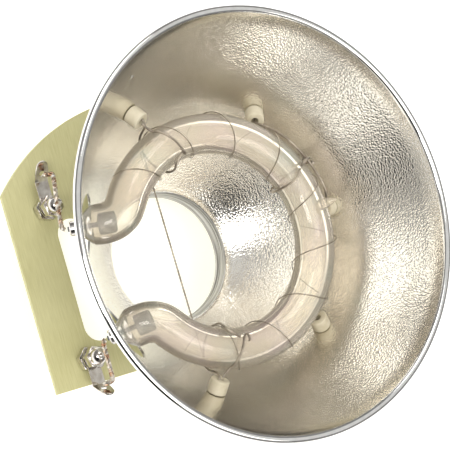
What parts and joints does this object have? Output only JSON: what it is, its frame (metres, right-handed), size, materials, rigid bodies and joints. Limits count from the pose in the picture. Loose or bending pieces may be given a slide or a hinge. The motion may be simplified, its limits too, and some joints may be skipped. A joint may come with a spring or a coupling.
{
  "type": "ring flash lamp head",
  "caption": "Plug-in ring flash lamp head: spun reflector bowl on an insulating terminal board, C-shaped glass flashtube held by hinged wire clips in ceramic bushings.",
  "frame": {"origin": "on the optical axis, level with the tips of the contact pins", "axes": "+Z along the beam out of the bowl's mouth, -Y towards the two power terminals, -X towards the board's arched end"},
  "size_m": [0.1998, 0.1998, 0.1349],
  "materials": {
    "peened_aluminium": "peened inside, polished bead, spun outside",
    "epoxy_glass_board": "pale yellow-green laminate, satin",
    "flashtube_glass": "clear with a faint tan and iridescent film",
    "glazed_ceramic": "ivory, semi-matt",
    "tungsten": "dull grey",
    "fibre": "matt brown",
    "copper_braid": "twisted tinned copper strands",
    "steel_wire": "drawn, slightly tarnished",
    "nickel_plate": "bright nickel"
  },
  "bodies": {
    "lamp": {"bushing_retainer_1": "nickel_plate", "bushing_retainer_2": "nickel_plate", "bushing_retainer_3": "nickel_plate", "bushing_retainer_4": "nickel_plate", "bushing_retainer_5": "nickel_plate", "ceramic_bushing_1": "glazed_ceramic", "ceramic_bushing_2": "glazed_ceramic", "ceramic_bushing_3": "glazed_ceramic", "ceramic_bushing_4": "glazed_ceramic", "ceramic_bushing_5": "glazed_ceramic", "cross_bus_wire": "steel_wire", "far_clip_back": "steel_wire", "flashtube_glass": "flashtube_glass", "ignition_wire": "steel_wire", "left_base_nut": "nickel_plate", "left_cap_nut": "nickel_plate", "left_clip_back": "steel_wire", "left_contact_pin": "nickel_plate", "left_electrode": "tungsten", "left_end_cap": "nickel_plate", "left_end_stem": "flashtube_glass", "left_lead": "copper_braid", "left_solder_lug": "nickel_plate", "left_washer": "nickel_plate", "neck_lock_ring": "nickel_plate", "neck_spacer_collar": "fibre", "outer_bus_wire": "steel_wire", "reflector_bowl": "peened_aluminium", "right_base_nut": "nickel_plate", "right_cap_nut": "nickel_plate", "right_clip_back": "steel_wire", "right_contact_pin": "nickel_plate", "right_electrode": "tungsten", "right_end_cap": "nickel_plate", "right_end_stem": "flashtube_glass", "right_lead": "copper_braid", "right_solder_lug": "nickel_plate", "right_washer": "nickel_plate", "terminal_board": "epoxy_glass_board", "trigger_base_nut": "nickel_plate", "trigger_cap_nut": "nickel_plate", "trigger_contact_pin": "nickel_plate", "trigger_lead": "copper_braid", "trigger_solder_lug": "nickel_plate", "trigger_washer": "nickel_plate"},
    "left_clip": {"left_clip_front": "steel_wire"},
    "far_clip": {"far_clip_front": "steel_wire"},
    "right_clip": {"right_clip_front": "steel_wire"}
  },
  "joints": [
    {"name": "left_clip_hinge", "type": "hinge", "parent": "lamp", "child": "left_clip", "pos_m": [-0.06008, -0.02637, 0.09196], "axis": [0.3907, -0.9205, 0], "range_deg": [0, 50]},
    {"name": "far_clip_hinge", "type": "hinge", "parent": "lamp", "child": "far_clip", "pos_m": [-0.02618, 0.0545, 0.09947], "axis": [-0.9026, -0.4305, 0], "range_deg": [0, 50]},
    {"name": "right_clip_hinge", "type": "hinge", "parent": "lamp", "child": "right_clip", "pos_m": [0.06174, -0.02223, 0.09196], "axis": [0.3502, 0.9367, 0], "range_deg": [0, 50]}
  ]
}
